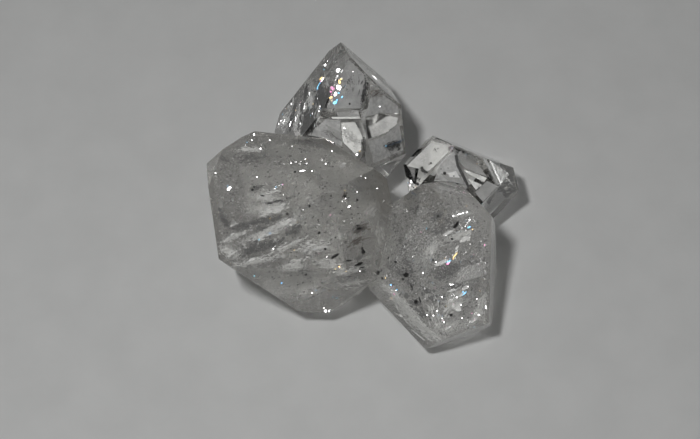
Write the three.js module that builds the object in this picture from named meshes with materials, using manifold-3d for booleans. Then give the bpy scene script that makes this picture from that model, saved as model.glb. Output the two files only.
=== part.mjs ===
// Herkimer diamond: four clear, doubly terminated quartz crystals grown into one cluster.
// Millimetres, +Z up. The cluster rests on z = 0, with its origin in the middle of its footprint.

import * as THREE from 'three';
import { ConvexGeometry } from 'three/addons/geometries/ConvexGeometry.js';
import { mergeVertices } from 'three/addons/utils/BufferGeometryUtils.js';
import Module from 'manifold-3d';

const QUARTZ_AXIAL_RATIO = 1.1002; // length of the unit cell along the long axis, over its width
const SIDES = 6;
const TIP_SLOPE = Math.atan(2 * QUARTZ_AXIAL_RATIO / Math.sqrt(3)); // tip face to the cross-section
const CORNER_TOLERANCE = 1e-5;
const BELOW_FLOOR = 20; // thickness of the block that cuts the resting spots flat

// A crystal is what lies behind 18 flat faces: six round its long axis, and six on each tip.
// The lists say how far each face grew from the crystal's heart, going round the long axis.
// The axis starts upright: spin turns the crystal about it, tilt leans it over, azimuth aims the lean.
const bigStubbyCrystal = {
  heart: new THREE.Vector3(-5.9, -0.3, 9.7),
  axis: { spin: 9, tilt: 59, azimuth: -133 },
  prism: [8.2, 10.8, 8.5, 8.1, 10.7, 9.3],
  upperTip: [8.8, 9.2, 8.9, 8.7, 11.9, 8.9],
  lowerTip: [9.4, 9.7, 10.8, 9.3, 7.6, 9.4],
};
const pointedCrystal = {
  heart: new THREE.Vector3(-1.9, 13.8, 7.0),
  axis: { spin: 33, tilt: 39, azimuth: 100 },
  prism: [8.0, 6.8, 8.3, 10.0, 6.9, 8.0],
  upperTip: [5.9, 4.9, 9.6, 12.0, 7.8, 6.4],
  lowerTip: [5.0, 7.4, 8.6, 9.2, 7.0, 7.5],
};
const smallCrystal = {
  heart: new THREE.Vector3(13.0, 5.9, 7.4),
  axis: { spin: 44, tilt: 11, azimuth: 25 },
  prism: [5.4, 4.7, 7.2, 6.3, 5.1, 6.1],
  upperTip: [3.7, 6.8, 6.9, 6.1, 8.1, 5.6],
  lowerTip: [5.4, 5.7, 4.5, 5.3, 6.1, 4.5],
};
const flashingCrystal = {
  heart: new THREE.Vector3(9.8, -5.0, 7.9),
  axis: { spin: 0, tilt: 31, azimuth: -7 },
  prism: [7.1, 4.7, 8.1, 5.9, 6.4, 8.7],
  upperTip: [6.6, 8.0, 9.4, 7.7, 4.2, 8.9],
  lowerTip: [5.5, 7.3, 7.1, 7.3, 7.6, 9.2],
};

const quartz = new THREE.MeshStandardMaterial({ color: 0xdfe2e0, roughness: 0.05, metalness: 0 });

// The face planes of an upright crystal, as outward planes: normal · point = distance.
function facePlanes({ prism, upperTip, lowerTip }) {
  const planes = [];
  for (let side = 0; side < SIDES; side += 1) {
    const angle = side * 2 * Math.PI / SIDES;
    const outward = new THREE.Vector3(Math.cos(angle), Math.sin(angle), 0);
    const lean = outward.clone().multiplyScalar(Math.sin(TIP_SLOPE));
    const rise = new THREE.Vector3(0, 0, Math.cos(TIP_SLOPE));
    planes.push({ normal: outward, distance: prism[side] });
    planes.push({ normal: lean.clone().add(rise), distance: upperTip[side] });
    planes.push({ normal: lean.clone().sub(rise), distance: lowerTip[side] });
  }
  return planes;
}

// The point shared by three planes, or null where they have none.
function meetingPoint(a, b, c) {
  const crossing = new THREE.Vector3().crossVectors(b.normal, c.normal);
  const volume = a.normal.dot(crossing);
  if (Math.abs(volume) < CORNER_TOLERANCE) return null;
  return crossing.multiplyScalar(a.distance)
    .add(new THREE.Vector3().crossVectors(c.normal, a.normal).multiplyScalar(b.distance))
    .add(new THREE.Vector3().crossVectors(a.normal, b.normal).multiplyScalar(c.distance))
    .divideScalar(volume);
}

// The corners where three faces meet and that lie behind all the other faces.
function crystalCorners(planes) {
  const corners = [];
  for (let i = 0; i < planes.length; i += 1) {
    for (let j = i + 1; j < planes.length; j += 1) {
      for (let k = j + 1; k < planes.length; k += 1) {
        const point = meetingPoint(planes[i], planes[j], planes[k]);
        const isInside = point && planes.every(
          ({ normal, distance }) => normal.dot(point) < distance + CORNER_TOLERANCE,
        );
        if (isInside) corners.push(point);
      }
    }
  }
  return corners;
}

function crystalGeometry(crystal) {
  const { spin, tilt, azimuth } = crystal.axis;
  return new ConvexGeometry(crystalCorners(facePlanes(crystal)))
    .rotateZ(THREE.MathUtils.degToRad(spin))
    .rotateY(THREE.MathUtils.degToRad(tilt))
    .rotateZ(THREE.MathUtils.degToRad(azimuth))
    .translate(...crystal.heart);
}

const wasm = await Module();
wasm.setup();

function toManifold(geometry) {
  const bare = geometry.clone();
  bare.deleteAttribute('normal');
  bare.deleteAttribute('uv');
  const merged = mergeVertices(bare, CORNER_TOLERANCE);
  return new wasm.Manifold(new wasm.Mesh({
    numProp: 3,
    vertProperties: new Float32Array(merged.attributes.position.array),
    triVerts: new Uint32Array(merged.index.array),
  }));
}

function toGeometry(manifold) {
  const { vertProperties, triVerts } = manifold.getMesh();
  const geometry = new THREE.BufferGeometry();
  geometry.setAttribute('position', new THREE.BufferAttribute(vertProperties, 3));
  geometry.setIndex(new THREE.BufferAttribute(triVerts, 1));
  geometry.computeVertexNormals();
  return geometry;
}

// The lowest corners are worn flat where the cluster rests, so it stands on small flat spots.
function cutAtFloor(manifold) {
  const { min, max } = manifold.boundingBox();
  const block = new THREE.BoxGeometry(2 * (max[0] - min[0]), 2 * (max[1] - min[1]), BELOW_FLOOR)
    .translate((min[0] + max[0]) / 2, (min[1] + max[1]) / 2, -BELOW_FLOOR / 2);
  return manifold.subtract(toManifold(block));
}

function clusterGeometry() {
  const [first, ...others] = [bigStubbyCrystal, pointedCrystal, smallCrystal, flashingCrystal]
    .map((crystal) => toManifold(crystalGeometry(crystal)));
  const joined = others.reduce((cluster, crystal) => cluster.add(crystal), first);
  const geometry = toGeometry(cutAtFloor(joined));
  geometry.computeBoundingBox();
  const middle = geometry.boundingBox.getCenter(new THREE.Vector3());
  return geometry.translate(-middle.x, -middle.y, 0);
}

const cluster = new THREE.Mesh(clusterGeometry(), quartz);
cluster.name = 'crystal_cluster';

const group = new THREE.Group();
group.add(cluster);

export default group;
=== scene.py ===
"""Looks of the herkimer diamond: clear intergrown quartz crystals lying on pale paper, metres, +Z up."""

import math
from itertools import combinations

import bmesh
import bpy
import numpy as np
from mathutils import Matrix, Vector
from mathutils.bvhtree import BVHTree


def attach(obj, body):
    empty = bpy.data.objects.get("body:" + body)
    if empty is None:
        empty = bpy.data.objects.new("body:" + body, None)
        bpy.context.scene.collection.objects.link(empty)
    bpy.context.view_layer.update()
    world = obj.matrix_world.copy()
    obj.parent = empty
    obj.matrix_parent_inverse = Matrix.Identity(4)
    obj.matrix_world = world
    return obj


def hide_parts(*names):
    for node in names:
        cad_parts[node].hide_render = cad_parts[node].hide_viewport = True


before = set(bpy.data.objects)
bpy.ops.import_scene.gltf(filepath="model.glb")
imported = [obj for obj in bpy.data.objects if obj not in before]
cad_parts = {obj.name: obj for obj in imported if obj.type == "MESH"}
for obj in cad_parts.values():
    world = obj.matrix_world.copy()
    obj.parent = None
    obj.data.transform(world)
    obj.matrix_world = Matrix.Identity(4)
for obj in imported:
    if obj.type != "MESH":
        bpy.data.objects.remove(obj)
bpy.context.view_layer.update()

MM = 0.001
rng = np.random.default_rng(7)

# -------- the crystals' faces, in millimetres

QUARTZ_AXIAL_RATIO = 1.1002  # length of the unit cell along the long axis, over its width
SIDES = 6
TIP_SLOPE = math.atan(2 * QUARTZ_AXIAL_RATIO / math.sqrt(3))  # tip face to the cross-section
EDGE_WEAR = 0.005  # how far a worn edge lies behind the sharp one
SHORTEST_WORN_EDGE = 0.4
TOLERANCE = 1e-5
SAME_CORNER = 5e-7  # metres
ONE_FACE = math.radians(0.2)  # most that the triangles of one flat face lean from each other

# How far each face grew from the crystal's heart, going round its long axis. The axis starts upright:
# spin turns the crystal about it, tilt leans it over and azimuth aims the lean, in degrees.
CRYSTALS = {
    "big": {
        "heart": (-5.9, -0.3, 9.7), "spin": 9, "tilt": 59, "azimuth": -133,
        "prism": (8.2, 10.8, 8.5, 8.1, 10.7, 9.3),
        "upper_tip": (8.8, 9.2, 8.9, 8.7, 11.9, 8.9),
        "lower_tip": (9.4, 9.7, 10.8, 9.3, 7.6, 9.4),
    },
    "pointed": {
        "heart": (-1.9, 13.8, 7.0), "spin": 33, "tilt": 39, "azimuth": 100,
        "prism": (8.0, 6.8, 8.3, 10.0, 6.9, 8.0),
        "upper_tip": (5.9, 4.9, 9.6, 12.0, 7.8, 6.4),
        "lower_tip": (5.0, 7.4, 8.6, 9.2, 7.0, 7.5),
    },
    "small": {
        "heart": (13.0, 5.9, 7.4), "spin": 44, "tilt": 11, "azimuth": 25,
        "prism": (5.4, 4.7, 7.2, 6.3, 5.1, 6.1),
        "upper_tip": (3.7, 6.8, 6.9, 6.1, 8.1, 5.6),
        "lower_tip": (5.4, 5.7, 4.5, 5.3, 6.1, 4.5),
    },
    "flashing": {
        "heart": (9.8, -5.0, 7.9), "spin": 0, "tilt": 31, "azimuth": -7,
        "prism": (7.1, 4.7, 8.1, 5.9, 6.4, 8.7),
        "upper_tip": (6.6, 8.0, 9.4, 7.7, 4.2, 8.9),
        "lower_tip": (5.5, 7.3, 7.1, 7.3, 7.6, 9.2),
    },
}


def turn_z(degrees):
    a = math.radians(degrees)
    return np.array([[math.cos(a), -math.sin(a), 0], [math.sin(a), math.cos(a), 0], [0, 0, 1]])


def turn_y(degrees):
    a = math.radians(degrees)
    return np.array([[math.cos(a), 0, math.sin(a)], [0, 1, 0], [-math.sin(a), 0, math.cos(a)]])


def face_planes(crystal):
    """Outward normals of the crystal's 18 faces and the floor, and their distances from the origin."""
    turned = turn_z(crystal["azimuth"]) @ turn_y(crystal["tilt"]) @ turn_z(crystal["spin"])
    normals, distances = [], []
    for side in range(SIDES):
        angle = math.tau * side / SIDES
        outward = np.array([math.cos(angle), math.sin(angle), 0])
        rise = np.array([0, 0, math.cos(TIP_SLOPE)])
        lean = outward * math.sin(TIP_SLOPE)
        normals += [turned @ outward, turned @ (lean + rise), turned @ (lean - rise)]
        distances += [crystal["prism"][side], crystal["upper_tip"][side], crystal["lower_tip"][side]]
    normals = np.array(normals)
    distances = np.array(distances) + normals @ np.array(crystal["heart"])
    return np.vstack([normals, [0, 0, -1]]), np.append(distances, 0)


def corners_of(normals, distances):
    """The corners of the solid that lies behind all the planes."""
    triples = np.array(list(combinations(range(len(normals)), 3)))
    sides = normals[triples]
    meet = np.abs(np.linalg.det(sides)) > TOLERANCE
    points = np.linalg.solve(sides[meet], distances[triples[meet]][..., None])[..., 0]
    return points[(points @ normals.T < distances + TOLERANCE).all(axis=1)]


def worn_planes(normals, distances):
    """The planes and a narrow one along every edge that is long enough to be worn."""
    corners = corners_of(normals, distances)
    on_face = np.abs(corners @ normals.T - distances) < 10 * TOLERANCE
    extra_normals, extra_distances = [], []
    for a, b in combinations(range(len(normals)), 2):
        ends = corners[on_face[:, a] & on_face[:, b]]
        if len(ends) < 2 or np.ptp(ends, axis=0).max() < SHORTEST_WORN_EDGE:
            continue
        between = normals[a] + normals[b]
        between /= np.linalg.norm(between)
        extra_normals.append(between)
        extra_distances.append(between @ ends[0] - EDGE_WEAR)
    return np.vstack([normals, extra_normals]), np.append(distances, extra_distances)


PLANES = {name: face_planes(crystal) for name, crystal in CRYSTALS.items()}
CORNERS = np.vstack([corners_of(*faces) for faces in PLANES.values()])
MIDDLE = (CORNERS.min(axis=0) + CORNERS.max(axis=0)) / 2 * (1, 1, 0)  # the finished part's origin


def placed(name, data):
    """A new object in the scene."""
    obj = bpy.data.objects.new(name, data)
    bpy.context.scene.collection.objects.link(obj)
    return obj


def solid_from(points, name):
    """A closed mesh object around the points, its triangles joined into flat faces."""
    bm = bmesh.new()
    for point in points:
        bm.verts.new(point)
    bmesh.ops.remove_doubles(bm, verts=bm.verts, dist=SAME_CORNER)
    hull = bmesh.ops.convex_hull(bm, input=bm.verts)
    bmesh.ops.delete(bm, geom=[v for v in hull["geom_interior"] if isinstance(v, bmesh.types.BMVert)])
    bmesh.ops.dissolve_limit(bm, angle_limit=ONE_FACE, verts=bm.verts, edges=bm.edges)
    mesh = bpy.data.meshes.new(name)
    bm.to_mesh(mesh)
    bm.free()
    return placed(name, mesh)


def joined(objects, name):
    """The union of closed objects, as one object."""
    first, *others = objects
    for other in others:
        union = first.modifiers.new("join", "BOOLEAN")
        union.operation = "UNION"
        union.solver = "EXACT"
        union.material_mode = "TRANSFER"
        union.object = other
    graph = bpy.context.evaluated_depsgraph_get()
    mesh = bpy.data.meshes.new_from_object(first.evaluated_get(graph))
    for obj in objects:
        bpy.data.objects.remove(obj)
    mesh.name = name
    return placed(name, mesh)


def cluster():
    """The crystals, grown into one another, as one closed object."""
    solids = []
    for name, faces in PLANES.items():
        solid = solid_from((corners_of(*worn_planes(*faces)) - MIDDLE) * MM, name)
        solid.data.materials.append(quartz_material(f"{name}_quartz", **CLARITY[name]))
        solids.append(solid)
    return joined(solids, "clear_crystals")


# -------- materials

WHITE = (1, 1, 1, 1)
NOISE_MIDDLE = (0.35, 0.65)  # where most of the noise's values lie
COLOUR_STOPS = (0.32, 0.68)  # values of the noise where a mottled colour is darkest and lightest


def fill(node, values):
    """Gives the node's sockets their values."""
    for socket, value in values.items():
        node.inputs[socket].default_value = value


class Tree:
    """The nodes of a material or a world; sizes and heights are millimetres."""

    def __init__(self, owner):
        owner.use_nodes = True
        self.owner = owner
        self.nodes = owner.node_tree.nodes

    def add(self, kind):
        return self.nodes.new("ShaderNode" + kind)

    def link(self, output, socket):
        self.owner.node_tree.links.new(output, socket)

    def coordinate(self, space, axis):
        """One coordinate of a place in the given space."""
        place = self.add("TexCoord")
        parts = self.add("SeparateXYZ")
        self.link(place.outputs[space], parts.inputs[0])
        return parts.outputs[axis]

    def noise(self, size, detail=3):
        """Noise over the object's own space, with features of about the given size."""
        place = self.add("TexCoord")
        texture = self.add("TexNoise")
        fill(texture, {"Scale": 1 / (size * MM), "Detail": detail})
        self.link(place.outputs["Object"], texture.inputs["Vector"])
        return texture.outputs["Fac"]

    def mapped(self, value, given, wanted):
        """The value, carried from the given range to the wanted one and held within it."""
        change = self.add("MapRange")
        fill(change, {"From Min": given[0], "From Max": given[1], "To Min": wanted[0], "To Max": wanted[1]})
        self.link(value, change.inputs["Value"])
        return change.outputs["Result"]

    def mottled(self, value, colours):
        """A colour between the dark and the light one, as the noise says."""
        ramp = self.add("ValToRGB")
        for stop, position, colour in zip(ramp.color_ramp.elements, COLOUR_STOPS, colours):
            stop.position = position
            stop.color = (*colour, 1)
        self.link(value, ramp.inputs["Fac"])
        return ramp.outputs["Color"]

    def relief(self, shader, value, height):
        bump = self.add("Bump")
        fill(bump, {"Distance": height * MM})
        self.link(value, bump.inputs["Height"])
        self.link(bump.outputs["Normal"], shader.inputs["Normal"])


def material_tree(name):
    """The node tree of a new material, and its shader."""
    tree = Tree(bpy.data.materials.new(name))
    return tree, tree.nodes["Principled BSDF"]


QUARTZ_IOR = 1.544
ABSORPTION = {"Color": (0.88, 0.87, 0.85, 1), "Density": 60}
LIGHT_INTO_CRYSTAL = 0.9  # share of the lamp's light that reaches what is sealed in a crystal
LIGHT_BEHIND_CRYSTAL = 0.06  # share that reaches the paper straight through one
MILKY_TINT = (0.9, 0.895, 0.875, 1)
WEAR_SIZE = 1.5
WAVES = {"size": 2.5, "detail": 1}
WAVE_HEIGHT = 0.012

# Each crystal's range of roughness and the share of light that its surface lets in. A cloud is where
# along +Y, in millimetres, more roughness starts and ends, and how much there is in the end.
CLARITY = {
    "big": {"roughness": (0.2, 0.28), "clear": 0.845},
    "pointed": {"roughness": (0, 0.02), "clear": 1, "cloud": (10, 13.5, 0.26)},
    "small": {"roughness": (0, 0.02), "clear": 1},
    "flashing": {"roughness": (0.1, 0.16), "clear": 0.81},
}


def clouded(tree, roughness, cloud):
    """The roughness with more added towards a crystal's far end."""
    start, end, most = cloud
    total = tree.add("Math")
    growth = tree.mapped(tree.coordinate("Object", "Y"), (start * MM, end * MM), (0, most))
    tree.link(growth, total.inputs[0])
    tree.link(roughness, total.inputs[1])
    return total.outputs["Value"]


def lit_inside(tree, shader):
    """The shader, but with a share of each shadow ray passing straight through it."""
    path = tree.add("LightPath")
    side = tree.add("NewGeometry")
    share = tree.mapped(side.outputs["Backfacing"], (0, 1), (LIGHT_BEHIND_CRYSTAL, LIGHT_INTO_CRYSTAL))
    dimmed = tree.add("BsdfTransparent")
    tree.link(share, dimmed.inputs["Color"])
    mix = tree.add("MixShader")
    tree.link(path.outputs["Is Shadow Ray"], mix.inputs[0])
    tree.link(shader.outputs["BSDF"], mix.inputs[1])
    tree.link(dimmed.outputs["BSDF"], mix.inputs[2])
    return mix.outputs["Shader"]


def quartz_material(name, roughness, clear, cloud=None):
    """Clear or milky quartz. Shadow rays pass it, so what is sealed inside is lit as well."""
    tree, shader = material_tree(name)
    tint = MILKY_TINT if clear < 1 else WHITE
    fill(shader, {"Base Color": tint, "IOR": QUARTZ_IOR, "Transmission Weight": clear})
    wear = tree.mapped(tree.noise(WEAR_SIZE), NOISE_MIDDLE, roughness)
    if cloud:
        wear = clouded(tree, wear, cloud)
    tree.link(wear, shader.inputs["Roughness"])
    tree.relief(shader, tree.noise(**WAVES), WAVE_HEIGHT)
    volume = tree.add("VolumeAbsorption")
    fill(volume, ABSORPTION)
    output = tree.nodes["Material Output"]
    tree.link(volume.outputs["Volume"], output.inputs["Volume"])
    tree.link(lit_inside(tree, shader), output.inputs["Surface"])
    return tree.owner


CARBON_RELIEF = 0.02

DULL = {  # dark and light colour, size of their patches in millimetres, range of roughness
    "haze": (((0.42, 0.42, 0.412), (0.64, 0.64, 0.627)), 0.4, (0.5, 0.8)),
    "smoke": (((0.28, 0.28, 0.275), (0.47, 0.47, 0.46)), 1.5, (0.5, 0.8)),
    "milk": (((0.8, 0.8, 0.79), (0.95, 0.95, 0.93)), 0.4, (0.5, 0.8)),
    "dusk": (((0.03, 0.03, 0.03), (0.1, 0.1, 0.097)), 0.3, (0.5, 0.8)),
    "stain": (((0.04, 0.022, 0.01), (0.12, 0.075, 0.045)), 0.3, (0.5, 0.8)),
    "slate": (((0.06, 0.1, 0.16), (0.14, 0.2, 0.28)), 0.4, (0.4, 0.6)),
    "black": (((0.004, 0.004, 0.004), (0.02, 0.019, 0.018)), 0.15, (0.3, 0.6)),
}

# Besides crack faces, these kinds make painted light: pane and dim sheets and facet scales behind clear
# facets stand in for the light seen through them, and satin and dim scales for the big crystal's bright
# pockets.
MIRRORS = {  # the same of crack faces: some mirror the lamp in the colours of a thin film
    "white": (((0.95, 0.95, 0.95), (1, 1, 1)), 0.25, (0.15, 0.25)),
    "warm": (((1, 0.55, 0.2), (1, 0.85, 0.4)), 0.25, (0.4, 0.5)),
    "pink": (((1, 0.25, 0.6), (1, 0.5, 0.75)), 0.25, (0.4, 0.5)),
    "blue": (((0.1, 0.4, 1), (0.35, 0.85, 1)), 0.25, (0.4, 0.5)),
    "satin": (((0.26, 0.26, 0.255), (0.45, 0.45, 0.44)), 0.5, (0.48, 0.6)),
    "dim": (((0.16, 0.16, 0.156), (0.32, 0.32, 0.31)), 1.2, (0.55, 0.7)),
    "pane": (((0.13, 0.13, 0.127), (0.42, 0.42, 0.405)), 2.6, (0.46, 0.56)),
    "facet": (((0.6, 0.6, 0.585), (0.95, 0.95, 0.93)), 1.5, (0.4, 0.48)),
}


def sealed_material(kind):
    """The material of small bodies in the quartz."""
    colours, size, roughness = {**DULL, **MIRRORS}[kind]
    tree, shader = material_tree(f"sealed_{kind}")
    value = tree.noise(size)
    tree.link(tree.mottled(value, colours), shader.inputs["Base Color"])
    tree.link(tree.mapped(value, NOISE_MIDDLE, roughness), shader.inputs["Roughness"])
    if kind in MIRRORS:
        fill(shader, {"Metallic": 1})
    if kind == "black":
        tree.relief(shader, value, CARBON_RELIEF)
    return tree.owner


PAPER_COLOURS = ((0.76, 0.765, 0.755), (0.8, 0.805, 0.795))
PAPER_PATCHES = 6
PAPER_GRAIN = 0.5
PAPER_RELIEF = 0.01
PAPER_FINISH = {"Roughness": 0.9, "Specular IOR Level": 0.2}


def paper_material():
    tree, shader = material_tree("pale_paper")
    tree.link(tree.mottled(tree.noise(PAPER_PATCHES), PAPER_COLOURS), shader.inputs["Base Color"])
    fill(shader, PAPER_FINISH)
    tree.relief(shader, tree.noise(PAPER_GRAIN), PAPER_RELIEF)
    return tree.owner


# -------- stage

CAMERA_DISTANCE = 250 * MM
CAMERA_ELEVATION = math.radians(62)
CAMERA_RANGE = (10 * MM, 10)  # nearest and farthest that it sees
AIM_HEIGHT = 9  # millimetres
VIEW_WIDTH = 80 * MM
SENSOR = 36
IMAGE_WIDTH = 700
IMAGE_MIDDLE = (350, 219.5)
SLOPE_PIXELS = IMAGE_WIDTH * CAMERA_DISTANCE / VIEW_WIDTH  # per unit of a ray's slope
PIXELS_PER_MM = SLOPE_PIXELS / CAMERA_DISTANCE * MM
RIGHT = Vector((1, 0, 0))
UP = Vector((0, math.sin(CAMERA_ELEVATION), math.cos(CAMERA_ELEVATION)))
FORWARD = UP.cross(RIGHT)
TARGET = Vector((-MIDDLE[0], -MIDDLE[1], AIM_HEIGHT)) * MM
CAMERA_PLACE = TARGET - FORWARD * CAMERA_DISTANCE

FLASH_WATTS = 0.27
FLASH_SIZE = 22 * MM
LENS_TO_FLASH = 62  # millimetres
FLASH_SIDEWAYS = -0.68  # the way from the lens to the flash, in the picture
FLASH_UPWARDS = 0.73
FLASH_PLACE = CAMERA_PLACE + (FLASH_SIDEWAYS * RIGHT + FLASH_UPWARDS * UP) * LENS_TO_FLASH * MM

ROOM_HEIGHTS = (0.1, 0.7)  # upward part of a direction near the horizon, and of one overhead
ROOM_LIGHT = (0.2, 0.045)  # strength of the light from there

PAPER_HALF_SIZE = 0.6
PAPER_BELOW_FLOOR = 0.02 * MM


def camera():
    data = bpy.data.cameras.new("camera")
    data.sensor_width = SENSOR
    data.lens = SENSOR * CAMERA_DISTANCE / VIEW_WIDTH
    data.clip_start, data.clip_end = CAMERA_RANGE
    obj = placed("camera", data)
    obj.location = CAMERA_PLACE
    obj.rotation_euler = (math.pi / 2 - CAMERA_ELEVATION, 0, 0)
    bpy.context.scene.camera = obj


def flash():
    """A small camera's flash, softened by a disk."""
    data = bpy.data.lights.new("flash", "AREA")
    data.shape = "DISK"
    data.size = FLASH_SIZE
    data.energy = FLASH_WATTS
    obj = placed("flash", data)
    obj.location = FLASH_PLACE
    obj.rotation_euler = (FLASH_PLACE - TARGET).to_track_quat("Z", "Y").to_euler()


def room():
    """Dim light from all round, brighter near the horizon than overhead."""
    tree = Tree(bpy.data.worlds.new("room"))
    background = tree.nodes["Background"]
    fill(background, {"Color": WHITE})
    level = tree.mapped(tree.coordinate("Generated", "Z"), ROOM_HEIGHTS, ROOM_LIGHT)
    tree.link(level, background.inputs["Strength"])
    bpy.context.scene.world = tree.owner


def paper():
    mesh = bpy.data.meshes.new("paper")
    half = PAPER_HALF_SIZE
    corners = [(-half, -half, 0), (half, -half, 0), (half, half, 0), (-half, half, 0)]
    mesh.from_pydata(corners, [], [(0, 1, 2, 3)])
    mesh.materials.append(paper_material())
    obj = placed("paper", mesh)
    obj.location.z = -PAPER_BELOW_FLOOR


# -------- small bodies

TETRAHEDRON = np.array([(1, 1, 1), (1, -1, -1), (-1, 1, -1), (-1, -1, 1)]) / math.sqrt(3)
TETRAHEDRON_FACES = np.array([(0, 1, 2), (0, 3, 1), (0, 2, 3), (1, 3, 2)])
FLECK_STRETCH = (0.3, 1.3)
KNOBS = (0.6, 1.1)  # how far a lump's knobs reach, as shares of its half breadth
FLAKE_THICKNESS = 0.01 * MM


class Heap:
    """Small closed bodies, in metres, of some kinds of material, gathered into one piece."""

    def __init__(self, name, kinds):
        self.name = name
        self.kinds = list(kinds)
        self.points, self.faces, self.marks = [], [], []
        self.count = 0

    def add(self, points, faces, kind=None):
        """Takes in bodies, of the first kind if none is given."""
        mark = self.kinds.index(kind) if kind else 0
        self.points.append(np.asarray(points))
        self.faces += [tuple(self.count + corner for corner in face) for face in faces]
        self.marks += [mark] * len(faces)
        self.count += len(points)

    def finish(self):
        mesh = bpy.data.meshes.new(self.name)
        mesh.from_pydata(np.vstack(self.points).tolist(), [], self.faces)
        for kind in self.kinds:
            mesh.materials.append(sealed_material(kind))
        mesh.polygons.foreach_set("material_index", self.marks)
        obj = placed(self.name, mesh)
        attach(obj, "root")


def random_turns(count):
    """Random rotation matrices."""
    q = rng.normal(size=(count, 4))
    w, x, y, z = (q / np.linalg.norm(q, axis=1, keepdims=True)).T
    return np.array([
        [1 - 2 * (y * y + z * z), 2 * (x * y - z * w), 2 * (x * z + y * w)],
        [2 * (x * y + z * w), 1 - 2 * (x * x + z * z), 2 * (y * z - x * w)],
        [2 * (x * z - y * w), 2 * (y * z + x * w), 1 - 2 * (x * x + y * y)],
    ]).transpose(2, 0, 1)


def add_flecks(heap, centres, sizes):
    """Many four-sided flecks; centres and sizes in millimetres."""
    turns = random_turns(len(centres))
    stretch = rng.uniform(*FLECK_STRETCH, (len(centres), 1, 3))
    shape = np.einsum("nij,nkj->nki", turns, TETRAHEDRON * stretch)
    points = (centres[:, None] + shape * sizes[:, None, None]) * MM
    faces = TETRAHEDRON_FACES[None] + 4 * np.arange(len(centres))[:, None, None]
    heap.add(points.reshape(-1, 3), faces.reshape(-1, 3))


def unit_ball():
    """Points and faces of a ball of 80 triangles."""
    bm = bmesh.new()
    bmesh.ops.create_icosphere(bm, subdivisions=2, radius=1)
    points = np.array([v.co for v in bm.verts])
    faces = [tuple(v.index for v in f.verts) for f in bm.faces]
    bm.free()
    return points, faces


BALL, BALL_FACES = unit_ball()


def across(along):
    """Two unit directions square to the given one and to each other."""
    first = along.orthogonal().normalized()
    return first, along.cross(first).normalized()


def add_lump(heap, start, end, breadth):
    """A knobbly lump that reaches half its breadth beyond the two points."""
    along = end - start
    length = along.length
    along = along.normalized() if length > 0 else RIGHT
    side, other = across(along)
    knobbly = BALL * rng.uniform(*KNOBS, (len(BALL), 1))
    axes = np.array([along * (length / 2 + breadth / 2), side * breadth / 2, other * breadth / 2])
    heap.add(np.array((start + end) / 2) + knobbly @ axes, BALL_FACES)


def add_flake(heap, corners, normal, kind):
    """A thin closed plate over the corners."""
    count = len(corners)
    front = [tuple(c + normal * FLAKE_THICKNESS / 2) for c in corners]
    rear = [tuple(c - normal * FLAKE_THICKNESS / 2) for c in corners]
    rim = [(i, i + count, (i + 1) % count + count, (i + 1) % count) for i in range(count)]
    faces = [tuple(range(count)), tuple(range(2 * count - 1, count - 1, -1)), *rim]
    heap.add(np.array(front + rear), faces, kind)


# -------- places inside the crystals

LEAST_COVER = 0.03  # quartz over a film, a crack face or a cloud's fleck, in millimetres
DRAWS_PER_POINT = 4  # in a crystal's box, for each point wanted
DRAWS_PER_SPOT = 3  # in an outline's box, for each spot wanted
PLACE_ON_STREAK = (0.5, 0.3)  # mean and spread of the places along a streak, as shares of its length
STREAK_SPREAD = 0.5  # spread of the places across it, as a share of its half width


def refracted(ray, normal, ratio):
    """The ray, bent at a surface whose normal faces the way it comes from."""
    cosine = -ray.dot(normal)
    return (ratio * ray + (ratio * cosine - math.sqrt(1 - ratio**2 * (1 - cosine**2))) * normal).normalized()


class Window:
    """The spot of the crystals' surface that the camera sees at one pixel, the ray of view bent there
    and the way that a mirror behind it faces to throw the flash into the lens."""

    def __init__(self, at, ray, normal):
        self.at = at
        self.normal = normal
        self.view = refracted(ray, normal, 1 / QUARTZ_IOR)
        self.glint_normal = -(self.view + (at - FLASH_PLACE).normalized()).normalized()

    def sealed(self, depth):
        """The point seen there that lies the given depth, in millimetres, behind the surface."""
        return self.at + self.view * (depth * MM)

    def on_plane(self, point, normal):
        """The point seen there on a plane."""
        return self.at + self.view * ((point - self.at).dot(normal) / self.view.dot(normal))


def window_at(px, py):
    """The window at a pixel of the photograph's frame, or None where it shows the paper."""
    sideways = (px - IMAGE_MIDDLE[0]) / SLOPE_PIXELS
    upwards = (IMAGE_MIDDLE[1] - py) / SLOPE_PIXELS
    ray = (FORWARD + (RIGHT * sideways + UP * upwards)).normalized()
    at, normal, _, _ = surface.ray_cast(CAMERA_PLACE, ray)
    return Window(at, ray, normal) if at else None


def within(points, margin):
    """Whether each point, in metres, lies in a crystal, the margin or more (mm) under its faces."""
    places = np.array([tuple(p) for p in points]) / MM + MIDDLE
    return np.any([(places @ n.T < d - margin).all(axis=1) for n, d in PLANES.values()], axis=0)


def scattered(name, count, margin):
    """Random points in a crystal, in millimetres, margin or more under its faces."""
    normals, distances = PLANES[name]
    corners = corners_of(normals, distances)
    points = rng.uniform(corners.min(axis=0), corners.max(axis=0), (count * DRAWS_PER_POINT, 3))
    return points[(points @ normals.T < distances - margin).all(axis=1)][:count] - MIDDLE


def beside(direction):
    """The direction in the picture at right angles to the given one."""
    return np.array([-direction[1], direction[0]])


def spots_along(streak):
    """Random pixels round a line from pixel to pixel, and the line's direction."""
    x0, y0, x1, y1, half_width, count = streak
    start = np.array([x0, y0], float)
    along = np.array([x1, y1], float) - start
    direction = along / math.hypot(*along)
    share = rng.normal(*PLACE_ON_STREAK, (count, 1))
    aside = beside(direction) * rng.normal(size=(count, 1)) * half_width * STREAK_SPREAD
    return start + along * share + aside, direction


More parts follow.
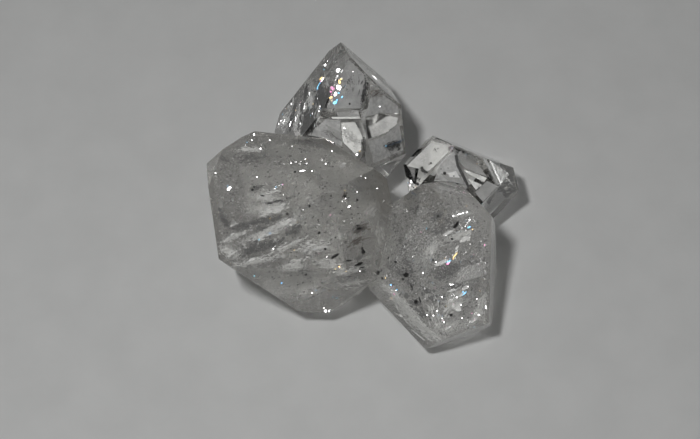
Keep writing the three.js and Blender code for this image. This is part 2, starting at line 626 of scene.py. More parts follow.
def spots_inside(outline, count):
    """Random pixels inside a convex outline."""
    corners = np.array(outline, float)
    spots = rng.uniform(corners.min(axis=0), corners.max(axis=0), (count * DRAWS_PER_SPOT, 2))
    edges = np.roll(corners, -1, axis=0) - corners
    offsets = spots[:, None] - corners[None]
    turns = edges[:, 0] * offsets[..., 1] - edges[:, 1] * offsets[..., 0]
    return spots[(turns > 0).all(axis=1) | (turns < 0).all(axis=1)][:count]


RAGGED_CORNERS = (5, 7)  # fewest and most
RAGGED_ANGLES = (-0.3, 0.3)  # how far a corner strays round the outline, as a share of the step
RAGGED_REACH = (0.65, 1.0)


def ragged(place, along, reach):
    """The corners of a ragged outline round a place, with its reach along a direction and beside it."""
    fewest, most = RAGGED_CORNERS
    count = int(rng.integers(fewest, most + 1))
    angles = math.tau * (np.arange(count) + rng.uniform(*RAGGED_ANGLES, count)) / count
    shares = rng.uniform(*RAGGED_REACH, (count, 1))
    lengthways = np.outer(np.cos(angles) * reach[0], along)
    return place + shares * (lengthways + np.outer(np.sin(angles) * reach[1], beside(along)))


def halves(outline):
    """The two parts of an outline cut from the middle of its longest side to the corner across."""
    longest = max(range(len(outline)), key=lambda i: math.dist(outline[i - 1], outline[i]))
    corners = [*outline[longest:], *outline[:longest]]
    middle = tuple(np.mean([corners[-1], corners[0]], axis=0))
    opposite = len(corners) // 2
    return (middle, *corners[:opposite + 1]), (*corners[opposite:], middle)


# -------- sealing bodies at pixels

SAME_FACE = 0.99  # cosine of the most that two windows of one crystal face may lean from each other
MIRROR_DEPTHS = (0.25, 0.4, 0.6, 0.9, 1.4, 2.1, 3.0)  # tried in turn until the crack face fits
PANE_DEPTHS = (0.45, 0.65, 0.95, 1.4, 2.1, 3.0, 0.3, 0.2)
MOST_CUTS = 3
GLINT_SHARE = 0.7  # part of a glint's breadth that its crack face fills; the rest is glow
ROUND_GLINT_SHAPE = (0.5, 0.95)  # its breadth over its length
SLIVER_LENGTHS = (2.4, 8.0)  # in pixels, as all breadths of slivers, scales and shades
SLIVER_BREADTHS = (0.35, 1.1)
BLACK_SLIVER_BREADTHS = (0.8, 2.2)
SLIVER_DEPTHS = (0.06, 0.7)
SLIVER_TURN = 0.22
PATCH_STRETCH = (1.0, 2.0)
SCALE_BREADTHS = (1.2, 4.5)
SCALE_DEPTHS = (0.5, 1.5)
SCALE_SPARE_DEPTH = 0.3
SCALE_LEAN = 0.06
DUST_SIZES = (0.03, 0.08)


def seal_mirror(heap, outline, kind, lean=0.0, depths=MIRROR_DEPTHS, cuts=MOST_CUTS):
    """A flat crack face, or a mirror sheet that paints the light seen through a clear facet, inside an
    outline of pixels, turned to mirror the flash into the lens.
    """
    windows = [window_at(*pixel) for pixel in outline]
    middle = window_at(*np.mean(outline, axis=0))
    if middle and all(windows):
        normal = (middle.glint_normal + Vector(rng.normal(size=3)) * lean).normalized()
        for depth in depths:
            centre = middle.sealed(depth)
            corners = [window.on_plane(centre, normal) for window in windows]
            if within(corners, LEAST_COVER).all():
                add_flake(heap, corners, normal, kind)
                return
    if cuts:
        for half in halves(outline):
            seal_mirror(heap, half, kind, lean, depths, cuts - 1)


def seal_film(heap, outline, depth, kind):
    """A thin film seen inside an outline of pixels, that follows the crystal's face."""
    windows = [window_at(*pixel) for pixel in outline]
    if not all(windows):
        return
    corners = [window.sealed(depth) for window in windows]
    normal = windows[0].normal
    if all(w.normal.dot(normal) > SAME_FACE for w in windows) and within(corners, LEAST_COVER).all():
        add_flake(heap, corners, normal, kind)


def seal_glint(heap, glint, kind):
    """A small crack face, seen at a pixel or from pixel to pixel."""
    *ends, breadth = glint
    start = np.array(ends[:2], float)
    along = np.array(ends[-2:], float) - start
    middle = start + along / 2
    length = math.hypot(*along)
    half_breadth = breadth * GLINT_SHARE * PIXELS_PER_MM / 2
    reach = (length / 2 + half_breadth, half_breadth)
    if length == 0:
        angle = rng.uniform(0, math.pi)
        along = np.array([math.cos(angle), math.sin(angle)])
        reach = (half_breadth, half_breadth * rng.uniform(*ROUND_GLINT_SHAPE))
    seal_mirror(heap, ragged(middle, along / math.hypot(*along), reach), kind, cuts=0)


def seal_grain(heap, grain, depth):
    """A lump, seen at a pixel or from pixel to pixel."""
    *ends, breadth = grain
    first, last = window_at(*ends[:2]), window_at(*ends[-2:])
    if first and last:
        add_lump(heap, first.sealed(depth), last.sealed(depth), breadth * MM)


def seal_slivers(heap, streak, kind, breadths):
    """Narrow films that lie along a line from pixel to pixel."""
    spots, (x, y) = spots_along(streak)
    for spot in spots:
        angle = rng.normal() * SLIVER_TURN
        sine, cosine = math.sin(angle), math.cos(angle)
        lean = np.array([x * cosine - y * sine, x * sine + y * cosine])
        half = lean * rng.uniform(*SLIVER_LENGTHS) / 2
        side = beside(lean) * rng.uniform(*breadths) / 2
        depth = rng.uniform(*SLIVER_DEPTHS)
        seal_film(heap, [spot - half, spot + side, spot + half, spot - side], depth, kind)


def patches(spots, along, breadths):
    """A ragged outline round each pixel, at least as long as it is broad."""
    for spot in spots:
        half_breadth = rng.uniform(*breadths) / 2
        yield ragged(spot, along, (half_breadth * rng.uniform(*PATCH_STRETCH), half_breadth))


def seal_scales(heap, spots, along, kind, breadths=SCALE_BREADTHS, depths=SCALE_DEPTHS):
    """Overlapping crack faces at the pixels, that nearly mirror the flash; where they stand in for the light
    on a clear facet or in a bright pocket, they are painted light.
    """
    for outline in patches(spots, along, breadths):
        tried = (rng.uniform(*depths), SCALE_SPARE_DEPTH)
        seal_mirror(heap, outline, kind, SCALE_LEAN, tried, 0)


def seal_shades(heap, spots, along, kind, breadths=SCALE_BREADTHS):
    """Overlapping films at the pixels that follow the crystal's face."""
    for outline in patches(spots, along, breadths):
        seal_film(heap, outline, rng.uniform(*SCALE_DEPTHS), kind)


def seal_dust(heap, streak, depths):
    """Flecks round a line from pixel to pixel, over a range of depths."""
    windows = [window_at(*spot) for spot in spots_along(streak)[0]]
    places = [window.sealed(rng.uniform(*depths)) for window in windows if window]
    places = np.array([tuple(p) for p in places])[within(places, LEAST_COVER + DUST_SIZES[1])]
    add_flecks(heap, places / MM, rng.uniform(*DUST_SIZES, len(places)))


# -------- what is sealed in the quartz
#
# Places are pixels of the photograph's frame, where x runs right and y down. A grain or glint is x, y,
# for a long one also to x, y, and its breadth in millimetres. A streak is x, y, to x, y, its half width in
# pixels and how many bodies lie along it. An outline is its corners. Depths are millimetres.

MILKY_GRAINS = (
    # big crystal
    (309.5, 206, 0.32), (287.3, 214, 0.3), (286.8, 198.4, 0.2), (295, 172, 0.3), (254, 187, 0.3),
    (252.5, 190, 0.34), (282, 201, 0.17), (268, 172, 0.22), (318, 210, 0.15), (313.5, 217, 0.2),
    (318, 220, 0.24), (319, 233, 0.36), (335.5, 237.5, 0.26), (343.5, 250.5, 0.15), (357.5, 225.5, 0.3),
    (344.5, 196, 0.42), (357, 200, 0.34), (331, 196, 0.25), (325, 249, 0.36), (363, 252, 0.6),
    (362, 248.5, 0.35), (303, 273, 0.2), (306, 274.5, 0.3), (329, 270, 0.15), (311, 183, 0.12),
    (262, 229, 0.15), (278, 232, 0.12), (299, 226, 0.15),
    # flashing crystal
    (438, 216, 0.36), (452, 239, 0.34), (443, 240, 0.2), (433, 260, 0.28), (406, 275, 0.72),
    (403, 279, 0.35), (378.5, 273, 0.5), (382.5, 278.5, 0.34), (388.5, 258, 0.34), (395.5, 262, 0.36),
    (397, 268, 0.2), (403, 268.5, 0.2), (416, 302, 0.5), (451, 315, 0.4), (426, 290, 0.2), (381, 271, 0.25),
    (436, 233, 0.15), (470, 262, 0.22), (446, 249, 0.18), (461, 252, 0.16), (477, 281, 0.2),
    (430, 275, 0.16),
    # long ones
    (331.5, 258, 338.5, 254, 0.34), (346, 261, 351, 260.5, 0.22), (355, 265.5, 362.5, 262.5, 0.38),
    (359.5, 268, 364.5, 267, 0.18), (357, 229, 361, 228.5, 0.28), (345, 276, 352, 277, 0.16),
    (260.5, 186.3, 264, 185.5, 0.14), (261, 195, 264, 196, 0.18), (266, 203, 272, 203.5, 0.17),
    (273, 202, 281, 200, 0.2), (302, 140, 313, 140, 0.1), (453.8, 228, 458.5, 222, 0.42),
    (410, 283, 413, 290, 0.22), (419, 297, 421, 303, 0.2),
)

CLEAR_GRAINS = (
    # small crystal
    (437, 176, 0.14), (448, 168, 0.14), (454, 176, 0.2), (459, 171, 0.1), (468, 184, 0.14), (492, 170, 0.1),
    (444.6, 173, 0.4), (451.5, 180.5, 0.3), (431, 163, 0.3), (431.5, 178.5, 0.42), (441, 169, 0.16),
    # pointed crystal
    (349.5, 103.8, 0.26), (363, 138, 0.2), (348, 142, 0.14), (352, 132, 0.12), (363.5, 100, 0.2),
    # long ones
    (457, 183.5, 461, 182.6, 0.34), (434, 179.3, 441, 179, 0.08), (434, 148, 437, 152, 0.1),
)

WHITE_GLINTS = (
    # big crystal
    (229.2, 188.4, 1), (254, 134.6, 0.42), (252, 140, 0.26), (270, 140, 0.26), (284, 163.8, 0.18),
    (291, 163, 0.18), (305.2, 159, 0.28), (306.5, 163.5, 0.18), (325.6, 163.6, 0.26), (312, 171, 0.24),
    (257, 177, 0.26), (260.5, 148.5, 0.3), (332, 151, 0.26), (357, 192, 0.18), (342.5, 201.5, 0.18),
    (290.4, 225.5, 0.2), (273.5, 248.6, 0.24), (312, 293, 0.26), (324, 308, 0.26), (325.5, 311, 0.52),
    (329, 311, 0.34), (333.6, 257.5, 0.28), (326.8, 257, 0.2), (365.5, 178, 0.18), (361, 176, 0.14),
    (283.5, 195, 0.18), (215.5, 173, 0.28), (287, 222.4, 0.34), (360, 271, 0.18), (377, 188.5, 0.2),
    (292, 146, 0.14), (300, 164, 0.16), (322, 160, 0.14), (275, 188.5, 0.18), (296, 162, 0.16),
    # pointed crystal
    (338.6, 70.6, 0.95), (338.6, 87.6, 1.1), (335.4, 94, 0.75), (325, 65, 0.5), (320.2, 106.6, 0.4),
    (319, 111, 0.2), (344.4, 128, 0.28), (357, 154.6, 0.44), (379.8, 106.6, 0.22), (293, 111.5, 0.36),
    (353, 71.6, 0.18), (281.5, 121, 0.4), (279, 124, 0.24), (291.5, 104, 0.24), (287, 122, 0.24),
    (284, 117, 0.2), (337.5, 76, 0.26), (396, 113.5, 0.16), (364.6, 88.5, 0.2), (327.5, 61.5, 0.16),
    # flashing crystal
    (467, 212.3, 0.36), (453.5, 216, 0.34), (469.6, 219.8, 0.28), (486, 307, 0.52), (479, 315, 0.38),
    (471, 323, 0.26), (457, 297, 0.36), (448.5, 302, 0.34), (437, 311, 0.3), (427, 315, 0.3),
    (433.5, 315.5, 0.24), (450, 284, 0.26), (423, 273, 0.24), (436, 262, 0.28), (450, 327, 0.22),
    (404.5, 179.5, 0.24), (411.2, 182, 0.3), (409.8, 185.6, 0.22), (446, 235.5, 0.24), (461, 305, 0.24),
    (455, 309, 0.28), (442, 297, 0.2), (444, 322, 0.18), (462, 318, 0.16), (396, 290.5, 0.2),
    (477, 299, 0.2), (468, 287, 0.18),
    # long ones
    (299, 129, 301, 120, 0.1), (304, 110, 305, 103, 0.1), (311, 121, 313, 112, 0.1),
    (317, 104, 318, 97, 0.1), (295, 124, 296, 116, 0.12), (289, 128, 291, 121, 0.12),
    (283, 124, 285, 119, 0.14), (308, 98, 310, 91, 0.1), (206.5, 167, 207.5, 171, 0.3),
    (300.5, 171, 304.5, 170.5, 0.34), (321.5, 81.5, 323.6, 77.5, 0.26), (372, 75, 377, 80, 0.14),
    (348, 207.4, 350.5, 205.5, 0.2), (457, 214.6, 464.5, 212.8, 0.14), (411, 180, 411.3, 183, 0.16),
    (450, 285, 454, 284, 0.16), (458, 297, 464, 293, 0.2), (447, 303, 451, 300.5, 0.2),
    (475, 320, 472, 322, 0.16),
)

WARM_GLINTS = (
    (294.3, 250, 0.26), (335.5, 269, 0.26), (339.5, 266.5, 0.26), (346, 271.5, 0.2), (254.5, 131, 0.16),
    (339.5, 82, 0.9), (330.8, 97.5, 0.75), (341, 79, 0.45), (331.5, 100.6, 0.2), (313, 104, 0.2),
    (359.8, 151, 0.2), (324.5, 77.5, 0.18), (457, 253, 0.26), (453.3, 259, 0.26), (385.4, 278, 0.28),
    (391.5, 298, 0.28), (472.5, 229.4, 0.28), (446, 306, 0.2), (480, 291, 0.18), (345, 190.5, 0.18),
    (270, 218.5, 0.2), (466.8, 206, 0.16), (320, 80, 321.8, 76.8, 0.3), (453, 258, 457, 253, 0.3),
)

PINK_GLINTS = (
    (330.3, 215, 0.26), (332.6, 88.6, 0.9), (331, 92, 0.5), (331.4, 94.6, 0.22), (484.5, 245, 0.36),
    (394, 293.8, 0.36), (463.8, 192.2, 0.22), (421, 232, 0.2), (446.5, 264, 0.26), (283, 184.6, 0.24),
    (464, 277, 0.16), (472, 313, 0.18), (435, 288, 0.16), (367, 213, 0.14), (320.5, 82, 322.3, 79.5, 0.16),
    (447, 264.5, 450, 261.5, 0.3),
)

BLUE_GLINTS = (
    (334.8, 102.6, 0.9), (342, 97, 0.6), (337, 100, 0.45), (338.5, 93, 0.45), (227.6, 186, 0.2),
    (254.3, 276, 0.32), (281.5, 283, 0.3), (259, 239.5, 0.26), (270, 233.5, 0.26), (316, 290.5, 0.2),
    (332.7, 297, 0.2), (336.8, 298, 0.22), (391, 285, 0.34), (448.5, 261.5, 0.34), (463, 292, 0.34),
    (450, 259, 0.18), (426.5, 228.5, 0.22), (470, 227, 0.26), (386, 146, 0.22), (345, 86, 0.16),
    (397, 289.5, 0.22), (439, 301, 0.18), (474, 327, 0.16), (247, 142, 0.16), (276, 187, 0.18),
    (324, 69.5, 0.2), (317.3, 89, 320, 83, 0.5), (462, 296, 467, 291, 0.2), (446, 262.5, 451, 260.5, 0.3),
    (467.5, 228, 470.5, 226.5, 0.26), (405.5, 189, 411.5, 193, 0.3),
)

SATIN_GLINTS = (
    (442, 236, 454, 230, 0.7), (436, 265, 447, 260, 0.9), (452, 304, 459, 309, 1.3),
    (462, 290, 468, 285, 0.7), (461, 241, 468, 237, 0.9), (448, 292, 456, 289, 0.6),
    (457, 298, 466, 291, 0.6), (447, 303, 456, 297, 0.5), (478, 317, 470, 324, 0.5),
    (444, 330, 452, 326, 0.4), (455, 250, 458, 246, 0.5), (453, 217, 460, 214, 0.5),
    (438, 264, 446, 261.5, 0.5), (341, 167, 345, 163, 0.7), (343.5, 221.5, 344.5, 220.5, 0.34),
    (303.4, 181, 306.6, 187.5, 0.16), (430, 245, 433, 255, 0.4), (315, 223.5, 322, 225.5, 0.2),
    (395, 319, 405, 327, 0.16), (408, 327, 428, 343, 0.2), (400, 315, 415, 330, 0.12),
    (420, 333, 436, 344, 0.14), (455, 236, 461, 229.5, 0.2),
)

BRIGHT_PANES_AND_PAINTED_LIGHT = (
    # small crystal: painted light, sheets that stand in for the bright windows of lit paper seen through its
    # facets
    ((432, 138.5), (453.5, 147.5), (429, 171), (407, 166)),
    ((463, 169), (466, 173), (484, 182), (487, 178)),
    ((467, 178), (482, 185), (476, 190)),
    # pointed crystal: painted light, sheets that stand in for the bright windows of lit paper seen through
    # its facets
    ((341, 122), (362, 121), (363, 138), (361, 150), (355, 154), (343, 142)),
    ((365, 117), (380, 113.5), (398, 118), (396, 125), (385, 133), (368, 139)),
    ((331, 117), (361, 116.3), (361, 118.8), (333, 119)),
    # flashing crystal
    ((463.5, 232), (471.5, 230), (470, 241), (463, 240)),
    ((453, 300), (461, 302), (458, 310), (451, 306)),
)

# Those of the small and pointed crystals are painted light: sheets that give their clear facets the tone of
# what is seen through them. The one at (456, 268) lies in the flashing crystal.
DIM_PANES_AND_PAINTED_LIGHT = (
    ((459, 151), (479, 155), (487, 177), (464, 168), (457, 158)),
    ((437, 170), (451, 160), (458, 168), (465, 185), (448, 181)),
    ((336, 111), (359, 110), (360, 116), (338, 116.6)),
    ((323, 121), (340, 122), (342, 141), (334, 136)),
    ((456, 268), (480, 262), (482, 276), (462, 282)),
    ((484, 180), (498, 187), (489, 205), (476, 194)),
)

FILMS = (  # kind, depth, outline
    # small crystal
    ("dusk", 0.15, ((454.5, 155), (457.5, 155), (459, 165), (456.5, 166))),
    ("dusk", 0.15, ((456.5, 166), (459, 165), (463.5, 173), (460.5, 174))),
    ("dusk", 0.15, ((460.5, 174), (463.5, 173), (469.5, 186), (467.5, 188))),
    ("haze", 0.3, ((482.5, 158), (487, 160.5), (497.5, 183), (491.5, 174))),
    ("haze", 0.4, ((440, 165), (454, 151), (457, 160), (463, 178), (466, 187), (448, 181), (434, 181))),
    ("milk", 0.3, ((448, 173), (456, 171), (464, 185), (451, 180.5))),
    ("smoke", 0.4, ((487, 181), (498, 186), (483, 202), (475, 192))),
    # pointed crystal
    ("smoke", 0.7, ((349, 60), (363.5, 74), (367, 91), (360, 108.5), (327, 108.5), (341, 74))),
    ("haze", 0.7, ((371, 96), (379, 92), (398, 106), (399, 114), (380, 112.5), (365, 117))),
    ("haze", 0.6, ((368, 142), (386, 135), (399, 122), (403, 150), (374, 163))),
    ("haze", 0.5, ((326, 119), (340, 120), (342, 146), (325, 138), (308, 135))),
    ("haze", 0.15, ((380, 166), (397, 160), (389, 174))),
)

MOTTLES = (  # outline, how many of each kind
    (((214, 170), (258, 138), (330, 152), (370, 215), (366, 268), (312, 308), (222, 256)), 450),
    (((390, 210), (410, 184), (460, 190), (488, 236), (486, 320), (430, 342), (380, 280)), 500),
    (((282, 128), (318, 74), (345, 46), (372, 76), (366, 104), (318, 110), (310, 130)), 160),
)

# Painted highlight: mirror scales that make the small crystal's right face read bright, standing in for the
# light seen through it.
PAINTED_FACET_HIGHLIGHTS = (  # outline, how many
    (((490, 161), (509, 174), (500.5, 184)), 900),
)

DARK_PATCHES = (
    (((430, 273), (446, 269), (458, 262), (461, 267), (449, 279), (438, 280)), 60),
    (((509, 175), (517, 175), (518, 190), (505, 197), (500, 187)), 50),
)

PALE_SCALES_AND_PAINTED_LIGHT = (
    # The first two are painted light: bright pockets that stand in for light reflected inside the big
    # crystal's clear parts.
    (226, 239, 242, 234, 3, 30), (222, 250, 238, 256, 5, 50), (240, 263, 264, 259, 3, 40),
    (264, 259, 286, 256, 1.6, 16), (256, 240, 280, 228, 2.4, 40), (276, 229, 295, 219, 2.8, 34),
    (262, 212, 284, 208, 3.6, 36), (228, 227, 237, 222, 2, 10), (262, 254, 300, 238, 1, 16),
    (383, 284, 412, 313, 3, 30), (396, 304, 436, 342, 4, 60), (300, 247, 326, 248, 4, 20),
    (342, 272, 366, 267, 4, 24), (452, 300, 460, 292, 5, 24), (426, 256, 434, 244, 4, 20),
)

DARK_SHADES_AND_PAINTED_SHADE = (
    (229, 231, 250, 224, 2.6, 20), (248, 224, 276, 218, 3.4, 28), (240, 257, 262, 245, 4, 36),
    (258, 245, 286, 240, 3, 28), (219, 212, 227, 225, 2.2, 24), (265, 204, 283, 200.5, 1, 16),
    (256, 229, 268, 228, 3, 16), (284, 238, 297, 226, 2.4, 16), (396, 150, 402, 142, 3, 16),
    (452, 288, 461, 286, 2.4, 20), (404, 252, 414, 290, 5, 30), (394, 215, 400, 250, 6, 16),
    # (412, 178) to (424, 183) and, two lines down, (418, 168) to (430, 175) are painted shade: dark films
    # under the small crystal's front-left edge, where that face lies in shadow.
    (432, 232, 446, 226, 5, 20), (470, 276, 480, 262, 6, 14), (412, 178, 424, 183, 3, 6),
    (398, 290, 430, 322, 6, 30), (420, 282, 446, 306, 8, 30), (434, 218, 441, 214, 2.5, 16),
    (418, 168, 430, 175, 2, 8),
)

PALE_STREAKS = (
    (254, 240, 280, 228, 3, 70), (276, 229, 295, 219, 3.5, 70), (262, 213, 284, 208, 5, 80),
    (285, 266, 304, 260, 3.5, 40), (262, 257, 302, 239, 1.5, 50), (300, 247, 328, 246, 6, 80),
    (318, 262, 345, 266, 5, 60), (342, 272, 366, 266, 5, 60), (368, 216, 374, 209, 5, 50),
    (240, 149, 252, 150, 2, 20), (252, 144, 262, 151, 2, 20), (375, 220, 384, 258, 6, 60),
    (262, 192, 280, 197, 6, 40), (292, 204, 262, 215, 3, 20), (330, 282, 360, 288, 5, 30),
    (383, 284, 412, 313, 4, 90), (395, 302, 436, 342, 5, 160), (412, 322, 446, 344, 3, 70),
    (440, 318, 462, 296, 6, 90), (428, 258, 436, 242, 5, 60), (452, 238, 470, 232, 4, 60),
    (455, 290, 470, 268, 6, 50), (474, 320, 484, 296, 5, 50), (430, 300, 440, 330, 8, 60),
    (285, 128, 292, 100, 4, 120), (278, 126, 290, 116, 3, 80), (296, 128, 302, 108, 4, 110),
    (308, 112, 312, 92, 3, 70), (314, 128, 319, 104, 3, 60), (332, 102, 326, 78, 3, 40),
)

DARK_STREAKS_AND_SHADE = (
    (236, 160, 268, 158, 5, 60), (214, 152, 226, 162, 5, 60), (440, 278, 462, 264, 4, 50),
    (321, 88, 323, 108, 3, 150), (303, 132, 309, 110, 3.5, 190), (310, 130, 316, 112, 3, 90),
    (288, 128, 292, 108, 4, 60), (326, 100, 330, 82, 3, 50), (358, 100, 370, 68, 8, 24),
    (299, 126, 302, 104, 1.5, 70), (305, 99, 308, 88, 2, 50), (292, 116, 296, 102, 1.5, 50),
    (314, 118, 317, 96, 1.5, 60), (363, 97, 366, 84, 1.5, 40), (346, 92, 352, 76, 4, 8),
    # (412, 178) to (424, 183) is painted shade: dark films under the small crystal's front-left edge, where
    # that face lies in shadow.
    (287, 104, 293, 98, 1.2, 30), (412, 178, 424, 183, 3, 8), (386, 146, 402, 141, 2, 40),
)

STAINS = (
    (354, 232, 366, 226, 4, 60), (352, 243, 364, 238, 4, 50), (344, 197, 347, 192, 2, 14),
    (368, 96, 384, 90, 4, 26), (326, 86, 330, 96, 3, 16),
)

BLACK_STREAKS = (
    (303, 133, 309, 111, 3, 120), (320, 88, 323, 108, 3, 110), (311, 128, 315, 116, 2.4, 40),
    (299, 128, 302, 104, 1.2, 36), (305, 99, 306, 88, 1.6, 30), (290, 128, 293, 112, 2, 24),
    (325, 106, 327, 92, 1.6, 30), (316, 104, 318, 94, 1.2, 20), (363, 99, 365, 86, 1.2, 20),
    (286, 106, 290, 98, 1, 16),
)

SLATE_STREAKS = (
    (386, 146.5, 403, 140, 0.5, 18), (406, 189, 413, 193, 1.2, 50),
)

SPARKLE_FIELDS = (
    (286, 163, 328, 160, 4, 8), (244, 146, 264, 148, 4, 8), (300, 200, 350, 260, 30, 20),
    (240, 200, 290, 270, 16, 16), (310, 280, 336, 306, 12, 24), (278, 232, 294, 220, 3, 8),
    (332, 270, 350, 266, 3, 8), (272, 188, 284, 184, 3, 8), (456, 236, 474, 214, 7, 26),
    (440, 266, 462, 250, 5, 26), (446, 302, 466, 286, 6, 26), (428, 314, 452, 326, 5, 16),
    (466, 326, 486, 308, 5, 20), (480, 250, 486, 290, 4, 20), (384, 276, 398, 298, 5, 18),
    (400, 220, 440, 300, 26, 40), (460, 200, 480, 320, 14, 30), (290, 104, 322, 112, 6, 12),
    (330, 96, 340, 66, 5, 18), (278, 126, 292, 106, 5, 24), (362, 90, 378, 78, 4, 10),
    (404, 180, 414, 188, 3, 10), (436, 150, 500, 170, 12, 8),
)

GREY_CLOUDS = (
    (336, 60, 350, 106, 12, 1800), (352, 60, 392, 104, 9, 900), (300, 96, 330, 60, 8, 600),
    (345, 56, 352, 84, 8, 1200), (458, 150, 482, 162, 6, 600), (452, 150, 458, 154, 3, 200),
    (486, 200, 500, 188, 5, 500), (372, 160, 400, 148, 6, 700),
)

PALE_CLOUDS_AND_PAINTED_LIGHT = (
    # big crystal
    # The first two are painted light: pale flecks in the bright pockets that stand in for light reflected
    # inside the big crystal's clear parts.
    (222, 248, 238, 256, 5, 1500), (228, 239, 243, 233, 2, 500), (240, 265, 275, 258, 2.5, 1200),
    (250, 210, 284, 206, 5, 1600), (250, 196, 278, 200, 4, 1200), (282, 267, 303, 266, 4, 1000),
    (247, 239, 296, 219, 2.5, 1600), (266, 261, 302, 240, 1.2, 500), (340, 274, 368, 266, 2, 500),
    (352, 262, 372, 256, 1.5, 300), (345, 285, 368, 280, 2, 300), (300, 250, 330, 247, 5, 600),
    (330, 240, 350, 232, 3, 300), (318, 262, 340, 268, 4, 500), (208, 158, 222, 146, 3, 300),
    (238, 150, 262, 150, 2, 400), (338, 162, 345, 168, 3, 300), (250, 285, 310, 298, 10, 1800),
    # flashing crystal
    (383, 284, 412, 313, 4, 1200), (395, 302, 436, 342, 4, 2500), (426, 258, 436, 242, 5, 800),
    (446, 240, 470, 232, 3, 700), (446, 304, 460, 298, 5, 900), (456, 282, 482, 266, 6, 900),
    (474, 322, 486, 296, 5, 500), (440, 335, 462, 320, 5, 600), (454, 216, 472, 212, 3, 400),
    (405, 215, 470, 310, 26, 3000), (392, 205, 396, 260, 8, 500), (430, 330, 480, 322, 8, 700),
    # pointed crystal
    (345, 132, 360, 146, 5, 400), (280, 128, 292, 108, 3, 300),
)

DARK_CLOUDS = (
    # big crystal
    (231, 228, 275, 217, 3, 1100), (242, 252, 285, 243, 4, 1300), (222, 215, 228, 228, 3, 400),
    (250, 190, 262, 186, 3, 300), (292, 236, 300, 226, 3, 400), (300, 272, 312, 278, 3, 300),
    (352, 232, 366, 226, 4, 400), (355, 262, 362, 256, 3, 300), (236, 158, 266, 156, 5, 400),
    # flashing crystal
    (436, 218, 442, 214, 3, 400), (404, 252, 414, 290, 6, 600), (430, 273, 461, 264, 5, 1200),
    (446, 288, 461, 284, 3, 400), (396, 270, 406, 276, 4, 500), (412, 300, 420, 304, 3, 300),
    (394, 215, 400, 250, 6, 400), (386, 268, 392, 262, 3, 200),
    # pointed crystal
    (303, 133, 309, 111, 4, 900), (320, 88, 323, 108, 3, 800), (362, 102, 366, 84, 2, 400),
    (386, 150, 398, 144, 4, 400), (470, 196, 480, 184, 3, 150), (346, 92, 356, 74, 6, 120),
    (364, 150, 364, 138, 2, 200), (488, 172, 492, 180, 2, 100), (324, 130, 336, 138, 4, 200),
)

HAZE = {"big": 40000, "flashing": 24000}  # how many flecks
HAZE_SIZES = (0.035, 0.085)
HAZE_COVER = 0.6

GRAIN_DEPTHS = ((MILKY_GRAINS, 0.05), (CLEAR_GRAINS, 0.3))

GLINTS = {"white": WHITE_GLINTS, "warm": WARM_GLINTS, "pink": PINK_GLINTS, "blue": BLUE_GLINTS}
SPARKLE_CHANCES = {"white": 0.7, "warm": 0.1, "pink": 0.1, "blue": 0.1}
SPARKLE_BREADTH = (0.04, 0.11)
SIDEWAYS = (1, 0)
FACET_BREADTHS = (0.8, 2.0)
FACET_DEPTHS = (0.2, 0.7)

VEILS = {  # the streaks of each kind of film
    "haze": (), "smoke": (), "milk": PALE_STREAKS, "dusk": DARK_STREAKS_AND_SHADE,
    "stain": STAINS, "slate": SLATE_STREAKS, "black": BLACK_STREAKS,
}
MOTTLE_KINDS = ("haze", "dusk")
MOTTLE_ALONG = (0.95, -0.31)
MOTTLE_BREADTHS = (0.7, 2.2)

DEEP = (0.2, 3.0)
SHALLOW = (0.1, 0.9)
CLOUDS = (  # piece, kind, streaks, depths
    ("grey_clouds", "haze", GREY_CLOUDS, DEEP),
    ("pale_clouds_and_painted_light", "milk", PALE_CLOUDS_AND_PAINTED_LIGHT, SHALLOW),
    ("dark_clouds", "dusk", DARK_CLOUDS, SHALLOW),
)

LOOSE = {"big": 1500, "pointed": 150, "small": 40, "flashing": 1200}  # how many of each sort
LOOSE_SIZES = (0.03, 0.12)
LOOSE_GRAIN_COVER = 0.3
LOOSE_FLAKE_COVER = 0.4
LOOSE_FLAKE_STRETCH = 2


def seal_haze():
    """Fine flecks all through the milky crystals."""
    for name, count in HAZE.items():
        heap = Heap(f"{name}_crystal_haze", ["haze"])
        centres = scattered(name, count, HAZE_COVER)
        add_flecks(heap, centres, rng.uniform(*HAZE_SIZES, len(centres)))
        heap.finish()


def seal_grains():
    """Black grains of carbon."""
    heap = Heap("carbon_grains", ["black"])
    for grains, depth in GRAIN_DEPTHS:
        for grain in grains:
            seal_grain(heap, grain, depth)
    heap.finish()


def seal_cracks():
    """The faces of healed cracks: glints, panes and fields of scales; some panes and scales are painted
    light, standing in for the light seen through clear facets.
    """
    heap = Heap("healed_cracks_and_painted_light", MIRRORS)
    for kind, glints in GLINTS.items():
        for glint in glints:
            seal_glint(heap, glint, kind)
    kinds, chances = zip(*SPARKLE_CHANCES.items())
    for field in SPARKLE_FIELDS:
        for x, y in spots_along(field)[0]:
            kind = kinds[rng.choice(len(kinds), p=chances)]
            seal_glint(heap, (x, y, rng.uniform(*SPARKLE_BREADTH)), kind)
    for glint in SATIN_GLINTS:
        seal_glint(heap, glint, "satin")
    for outline in BRIGHT_PANES_AND_PAINTED_LIGHT:
        seal_mirror(heap, outline, "pane", depths=PANE_DEPTHS)
    for outline in DIM_PANES_AND_PAINTED_LIGHT:
        seal_mirror(heap, outline, "dim", depths=PANE_DEPTHS)
    for outline, count in PAINTED_FACET_HIGHLIGHTS:
        spots = spots_inside(outline, count)
        seal_scales(heap, spots, SIDEWAYS, "facet", FACET_BREADTHS, FACET_DEPTHS)
    for streak in PALE_SCALES_AND_PAINTED_LIGHT:
        spots, along = spots_along(streak)
        half = len(spots) // 2
        seal_scales(heap, spots[:half], along, "satin")
        seal_scales(heap, spots[half:], along, "dim")
    heap.finish()


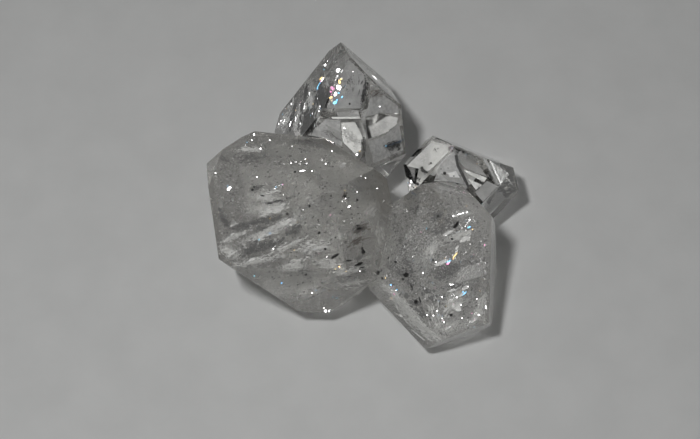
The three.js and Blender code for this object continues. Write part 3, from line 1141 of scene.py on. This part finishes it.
def seal_veils():
    """Films that follow the crystals' faces."""
    heap = Heap("veils_and_painted_shade", VEILS)
    for kind, streaks in VEILS.items():
        breadths = BLACK_SLIVER_BREADTHS if kind == "black" else SLIVER_BREADTHS
        for streak in streaks:
            seal_slivers(heap, streak, kind, breadths)
    for streak in DARK_SHADES_AND_PAINTED_SHADE:
        spots, along = spots_along(streak)
        seal_shades(heap, spots, along, "dusk")
    for outline, count in DARK_PATCHES:
        seal_shades(heap, spots_inside(outline, count), MOTTLE_ALONG, "dusk")
    for kind, depth, outline in FILMS:
        seal_film(heap, outline, depth, kind)
    for outline, count in MOTTLES:
        for kind in MOTTLE_KINDS:
            spots = spots_inside(outline, count)
            seal_shades(heap, spots, MOTTLE_ALONG, kind, MOTTLE_BREADTHS)
    heap.finish()


def seal_clouds():
    """Flecks gathered in clouds behind the faces; two pale ones are painted light."""
    for name, kind, streaks, depths in CLOUDS:
        heap = Heap(name, [kind])
        for streak in streaks:
            seal_dust(heap, streak, depths)
        heap.finish()


def seal_loose():
    """Grains and crack faces turned every way, all through the crystals."""
    grains = Heap("loose_grains", ["black"])
    flakes = Heap("loose_flakes", ["white", "dim"])
    for name, count in LOOSE.items():
        centres = scattered(name, count, LOOSE_GRAIN_COVER)
        add_flecks(grains, centres, rng.uniform(*LOOSE_SIZES, len(centres)))
        for centre in scattered(name, count, LOOSE_FLAKE_COVER):
            normal = Vector(rng.normal(size=3)).normalized()
            first, second = across(normal)
            half = rng.uniform(*LOOSE_SIZES)
            shape = ragged((0, 0), SIDEWAYS, (half * LOOSE_FLAKE_STRETCH, half))
            corners = [(Vector(centre) + first * x + second * y) * MM for x, y in shape]
            add_flake(flakes, corners, normal, flakes.kinds[rng.integers(0, len(flakes.kinds))])
    grains.finish()
    flakes.finish()


# -------- put together

crystals = cluster()
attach(crystals, "root")
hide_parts("crystal_cluster")

camera()
flash()
room()
paper()
surface = BVHTree.FromObject(crystals, bpy.context.evaluated_depsgraph_get())

seal_haze()
seal_grains()
seal_cracks()
seal_veils()
seal_clouds()
seal_loose()

bpy.context.scene.view_settings.view_transform = "Standard"
